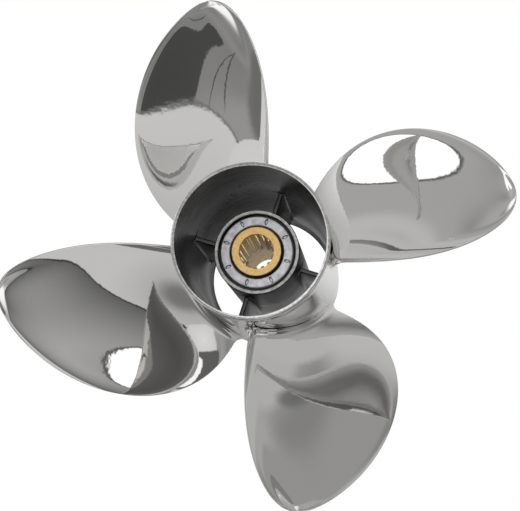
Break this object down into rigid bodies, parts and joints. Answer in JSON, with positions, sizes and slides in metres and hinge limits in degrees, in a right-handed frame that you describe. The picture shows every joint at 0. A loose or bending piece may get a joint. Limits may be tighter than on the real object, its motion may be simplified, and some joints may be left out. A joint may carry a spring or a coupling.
{
  "type": "boat propeller",
  "caption": "Left-hand stainless propeller for an outboard motor, with a hollow barrel for the exhaust and a splined brass sleeve in a rubber bush.",
  "frame": {"origin": "centre of the barrel's front face, which the propeller stands on", "axes": "+Z along the shaft axis, aft, towards the barrel's open end; +X through the middle of the root of the first blade"},
  "size_m": [0.3598, 0.3598, 0.164],
  "materials": {
    "stainless_steel": "mirror polished",
    "cast_steel": "matt as cast, machined bright on the rear end of the inner hub",
    "brass": "turned, satin",
    "black_rubber": "matt",
    "grey_ring": "satin"
  },
  "bodies": {
    "root": {"barrel": "stainless_steel", "inner_hub": "cast_steel", "rib_1": "cast_steel", "rib_2": "cast_steel", "rib_3": "cast_steel", "rib_4": "cast_steel", "blade_1": "stainless_steel", "blade_2": "stainless_steel", "blade_3": "stainless_steel", "blade_4": "stainless_steel", "drive_sleeve": "brass", "cushion_bush": "black_rubber", "bush_end_ring": "grey_ring"}
  },
  "joints": []
}
